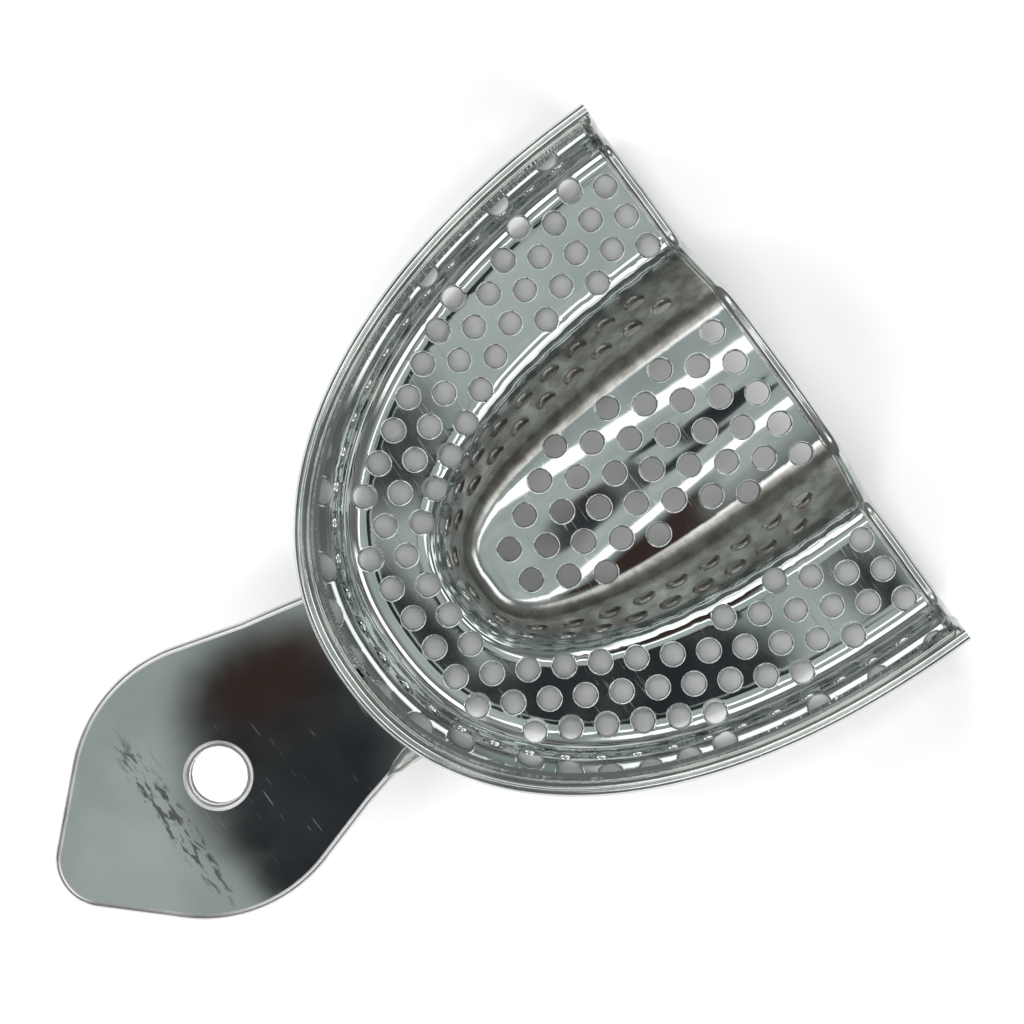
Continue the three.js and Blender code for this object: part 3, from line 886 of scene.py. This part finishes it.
solder = {
    "sides": 20, "lump": 0.22, "footSquash": 0.9, "cornerSquash": 0.95,
    # up the side of the foot: heights, how far aside of the foot and how far into it
    "footFrom": 3.3, "footTo": 11.0, "footAside": 0.25, "footSink": 0.3,
    "tailShare": 3.2, "tailAside": 0.1,
    # along the back corner: across, depth and height at both ends
    "cornerAcross": (34.3, 32.1), "cornerDepth": (1.9, 1.6), "cornerHeight": (12.7, 9.4),
    "cornerRadii": (1.0, 0.9),
}


def solderBead(name, path, radii, seed, squash, *nodes):
    # a short run of solder: a lumpy tube that closes at both ends
    sides = solder["sides"]
    points = []
    faces = []
    count = len(path)
    for i, place in enumerate(path):
        ahead = (path[min(i + 1, count - 1)] - path[max(i - 1, 0)]).normalized()
        across = ahead.cross(Vector((0.31, 0.2, 0.93))).normalized()
        other = ahead.cross(across)
        t = i / (count - 1)
        full = math.sqrt(max(1 - (2 * t - 1) ** 4, 0.0))
        for k in range(sides):
            angle = 2 * math.pi * k / sides
            out = across * math.cos(angle) * squash + other * math.sin(angle)
            bump = noise.noise(place * 0.7 + out * 0.8 + Vector((seed, 0, 0)))
            lump = 1 + solder["lump"] * bump
            points.append(place + out * (mix(radii[0], radii[1], t) * max(full, 0.02) * lump))
    for i in range(count - 1):
        for k in range(sides):
            m = (k + 1) % sides
            low = i * sides
            high = low + sides
            faces.append((low + k, low + m, high + m, high + k))
    faces.append(tuple(reversed(range(sides))))
    faces.append(tuple(range((count - 1) * sides, count * sides)))
    mesh = meshFrom(name, points, faces)
    work = bmesh.new()
    work.from_mesh(mesh)
    bmesh.ops.recalc_face_normals(work, faces=work.faces)
    work.to_mesh(mesh)
    work.free()
    smoothMesh(mesh)
    mesh.materials.append(silverSolder)
    return finishPiece(newObject(name, mesh), "silver_solder", *nodes)


def footSide(sign, tailLength):
    # up the side of the foot, with a tail that flows out over the neck
    path = []
    for i in range(28):
        t = i / 27
        height = mix(solder["footFrom"], solder["footTo"], max(t - 0.12, 0.0) / 0.88)
        tail = max(1 - t * solder["tailShare"], 0.0) ** 2
        aside = solder["footAside"] + solder["tailAside"] * tailLength * tail
        x = sign * (leaf["footHalfWidth"] + aside)
        depth = footDepth(x, height) - solder["footSink"] + tailLength * tail
        path.append(at(x, depth, height))
    return path


def cornerRun(sign):
    # fills the corner between the rim wire, the back wire and the end of the sheet
    path = []
    for i in range(20):
        t = i / 19
        x = sign * mix(*solder["cornerAcross"], t)
        height = mix(*solder["cornerHeight"], t ** 1.5)
        path.append(at(x, mix(*solder["cornerDepth"], t), height))
    return path


# the right run has the longer tail
solderBead("foot_solder_left", footSide(-1, 3.0), (1.0, 0.75), 2.0,
           solder["footSquash"], "handle_solder_left")
solderBead("foot_solder_right", footSide(1, 8.0), (1.65, 0.75), 9.0,
           solder["footSquash"], "handle_solder_right")
solderBead("back_corner_solder_left", cornerRun(-1), solder["cornerRadii"], 4.0,
           solder["cornerSquash"], "corner_solder_left")
solderBead("back_corner_solder_right", cornerRun(1), solder["cornerRadii"], 6.0,
           solder["cornerSquash"], "corner_solder_right")
print("solder run")


studio = {
    "cameraHeight": 400.0, "middle": (-4.4, 32.2), "frameWidth": 111.5, "roll": 54.0,
    "ceiling": rgb(0.46, 0.515, 0.5), "cloud": rgb(0.56, 0.61, 0.59),
    "belt": rgb(0.2, 0.205, 0.2), "low": rgb(0.12, 0.12, 0.115),
    "wander": 0.017, "wanderScale": 34.0, "cloudScale": 14.0, "beltSlopes": (0.3, 0.6),
    "floorHalf": 0.42, "floorTones": (rgb(0.62, 0.62, 0.62), rgb(0.65, 0.65, 0.65)),
}
cameraPlace = at(studio["middle"][0], studio["middle"][1], studio["cameraHeight"])
darkTone = rgb(0.03, 0.033, 0.037)
brownTone = rgb(0.055, 0.035, 0.03)
# patches of the ceiling, each given by the place on a flat mirror on the floor that shows it
ceilingPatches = [
    # x, depth, half length, half width, turn, softness, tone
    (-1.5, 20.0, 15.5, 13.0, 90.0, 0.12, darkTone),
    (-18.0, 37.5, 8.0, 5.2, -45.0, 0.25, darkTone),
    (-16.5, 44.5, 4.2, 2.6, -40.0, 0.5, darkTone),
    (1.0, 48.6, 16.0, 3.9, 0.0, 0.22, darkTone),
    (20.5, 31.0, 15.5, 9.0, 61.0, 0.2, darkTone),
    (14.0, 43.5, 6.0, 5.5, 30.0, 0.25, darkTone),
    (24.0, 5.3, 7.5, 3.3, 5.0, 0.25, darkTone),
    (4.8, 66.0, 16.5, 12.3, 0.0, 0.26, darkTone),
    (12.5, 72.0, 7.0, 6.5, 0.0, 0.3, darkTone),
    (-6.0, 63.5, 4.5, 8.5, 0.0, 0.8, brownTone),
]
# soft boxes round the room, in degrees as seen from the tray
softBoxes = [
    # turn round, up from the floor, half width, half height, strength
    (180.0, 51.0, 34.0, 8.0, 2.4),
    (0.0, 51.0, 30.0, 8.0, 2.2),
    (90.0, 47.0, 26.0, 8.0, 2.2),
    (270.0, 48.0, 26.0, 8.0, 2.2),
]
lamps = {
    "turns": (10, 170, 235, 305), "power": 15.0, "size": (0.9, 0.45),
    "distance": 1.1, "rise": 0.42, "holePower": 52.0, "holeCone": 2.2, "holeHeight": 900.0,
}
# bright strips above the tray, by their slope across and along it
strips = [
    # across, half width, along, half length, tone
    (-0.75, 0.42, 0.0, 0.8, rgb(0.4, 0.45, 0.44)),
    (-0.24, 0.05, -0.02, 0.42, rgb(2.2, 2.2, 2.2)),
    (0.44, 0.17, -0.07, 0.085, brownTone),
    (0.21, 0.028, 0.06, 0.36, rgb(2.2, 2.2, 2.2)),
]


def makeWorld():
    world = bpy.data.worlds.new("studio")
    bpy.context.scene.world = world
    world.use_nodes = True
    n = Nodes(world.node_tree)
    toward = n.add("ShaderNodeTexCoord").outputs["Generated"]
    parts = n.add("ShaderNodeSeparateXYZ", {0: toward})
    up = n.math("MAXIMUM", parts.outputs["Z"], 0.02)
    flatX = n.math("DIVIDE", parts.outputs["X"], up)
    flatY = n.math("DIVIDE", parts.outputs["Y"], up)
    # the patch pattern, wavering a little, as slopes away from straight up
    slopes = n.add("ShaderNodeCombineXYZ", {"X": flatX, "Y": flatY}).outputs[0]
    wander = n.add("ShaderNodeTexNoise", {
        "Vector": slopes, "Scale": studio["wanderScale"], "Detail": 3.0,
    })
    offset = n.vector("SUBTRACT", wander.outputs["Color"], (0.5, 0.5, 0.5))
    drift = n.add("ShaderNodeVectorMath", {0: offset, "Scale": studio["wander"]},
                  operation="SCALE").outputs[0]
    plan = n.vector("ADD", slopes, drift)
    clouds = n.noise(slopes, studio["cloudScale"], 3.0)
    colour = n.blend(n.ramp(clouds, 0.4, 0.65), studio["ceiling"], studio["cloud"])
    belt = n.ramp(n.vector("LENGTH", slopes), *studio["beltSlopes"])
    colour = n.blend(belt, colour, studio["belt"])
    for patch in ceilingPatches:
        colour = addPatch(n, colour, plan, *patch)
    for strip in strips:
        colour = addStrip(n, colour, flatX, flatY, *strip)
    around = n.math("ARCTAN2", parts.outputs["Y"], parts.outputs["X"])
    rise = n.math("ARCSINE", parts.outputs["Z"])
    for box in softBoxes:
        colour = addSoftBox(n, colour, around, rise, *box)
    colour = n.blend(n.ramp(parts.outputs["Z"], -0.02, 0.12), studio["low"], colour)
    lit = n.add("ShaderNodeBackground", {"Color": colour, "Strength": 1.0})
    plain = n.add("ShaderNodeBackground", {"Color": rgb(1.0, 1.0, 1.0), "Strength": 1.0})
    seen = n.add("ShaderNodeLightPath").outputs["Is Camera Ray"]
    both = n.add("ShaderNodeMixShader", {0: seen, 1: lit.outputs[0], 2: plain.outputs[0]})
    n.add("ShaderNodeOutputWorld", {"Surface": both.outputs[0]})


def addPatch(n, colour, plan, x, depth, longHalf, shortHalf, turn, soft, tone):
    height = studio["cameraHeight"]
    centreX = (x - studio["middle"][0]) / height
    centreY = -(depth - studio["middle"][1]) / height
    moved = n.vector("SUBTRACT", plan, (centreX, centreY, 0.0))
    spun = n.add("ShaderNodeVectorRotate", {"Vector": moved, "Angle": -math.radians(turn)},
                 rotation_type="Z_AXIS").outputs[0]
    scaled = n.vector("MULTIPLY", spun, (height / longHalf, height / shortHalf, 0.0))
    return n.blend(n.ramp(n.vector("LENGTH", scaled), 1 + soft, 1 - soft), colour, tone)


def addStrip(n, colour, flatX, flatY, across, halfWidth, along, halfLength, tone):
    offX = n.math("ABSOLUTE", n.math("SUBTRACT", flatX, across))
    offY = n.math("ABSOLUTE", n.math("SUBTRACT", flatY, along))
    inside = n.math("MULTIPLY", n.ramp(offX, halfWidth * 1.3, halfWidth * 0.7),
                    n.ramp(offY, halfLength * 1.2, halfLength * 0.8))
    return n.blend(inside, colour, tone)


def addSoftBox(n, colour, around, rise, turn, up, halfWidth, halfHeight, strength):
    away = n.math("SUBTRACT", around, math.radians(turn))
    away = n.math("ABSOLUTE", n.math("WRAP", away, -math.pi, math.pi))
    off = n.math("ABSOLUTE", n.math("SUBTRACT", rise, math.radians(up)))
    wide = math.radians(halfWidth)
    high = math.radians(halfHeight)
    inside = n.math("MULTIPLY", n.ramp(away, wide * 1.15, wide * 0.85),
                    n.ramp(off, high * 1.2, high * 0.8))
    return n.blend(inside, colour, rgb(strength, strength, strength * 0.99))


def makeFloor():
    size = studio["floorHalf"]
    mesh = bpy.data.meshes.new("floor")
    corners = [(-size, -size, 0), (size, -size, 0), (size, size, 0), (-size, size, 0)]
    mesh.from_pydata(corners, [], [(0, 1, 2, 3)])
    material = bpy.data.materials.new("pale_floor")
    material.use_nodes = True
    n = Nodes(material.node_tree)
    place = n.add("ShaderNodeTexCoord").outputs["Object"]
    tone = n.blend(n.noise(place, 30.0, 3.0), *studio["floorTones"])
    shader = n.add("ShaderNodeBsdfPrincipled", {"Base Color": tone, "Roughness": 0.9})
    n.add("ShaderNodeOutputMaterial", {"Surface": shader.outputs["BSDF"]})
    mesh.materials.append(material)
    newObject("floor", mesh)


def floorLamps():
    # four large soft lamps stand low round the table and whiten it
    for turn in lamps["turns"]:
        lamp = bpy.data.lights.new("floor_lamp", "AREA")
        lamp.energy = lamps["power"]
        lamp.shape = "RECTANGLE"
        lamp.size, lamp.size_y = lamps["size"]
        lampObject = newObject("floor_lamp_%d" % turn, lamp)
        out = math.radians(turn)
        place = Vector((math.cos(out), math.sin(out), lamps["rise"])) * lamps["distance"]
        lampObject.location = place
        lampObject.rotation_euler = (-place).to_track_quat("-Z", "Y").to_euler()
        lampObject.visible_glossy = False


def holeLamp():
    # a narrow lamp straight above whitens the table under the hanging hole
    lamp = bpy.data.lights.new("hole_lamp", "SPOT")
    lamp.energy = lamps["holePower"]
    lamp.spot_size = math.radians(lamps["holeCone"])
    lamp.spot_blend = 1.0
    lamp.shadow_soft_size = 0.01
    lampObject = newObject("hole_lamp", lamp)
    lampObject.location = at(0.0, leaf["holeAt"], lamps["holeHeight"]) * mm
    lampObject.visible_glossy = False


def makeCamera():
    lens = bpy.data.cameras.new("camera")
    lens.sensor_width = 36.0
    lens.lens = 36.0 * studio["cameraHeight"] / studio["frameWidth"]
    lens.clip_start = 0.01
    lens.clip_end = 50.0
    camera = newObject("camera", lens)
    camera.location = cameraPlace * mm
    camera.rotation_euler = (0.0, 0.0, math.radians(studio["roll"]))
    bpy.context.scene.camera = camera


makeWorld()
makeFloor()
floorLamps()
holeLamp()
makeCamera()
bpy.context.scene.view_settings.view_transform = "Standard"
print("studio ready")
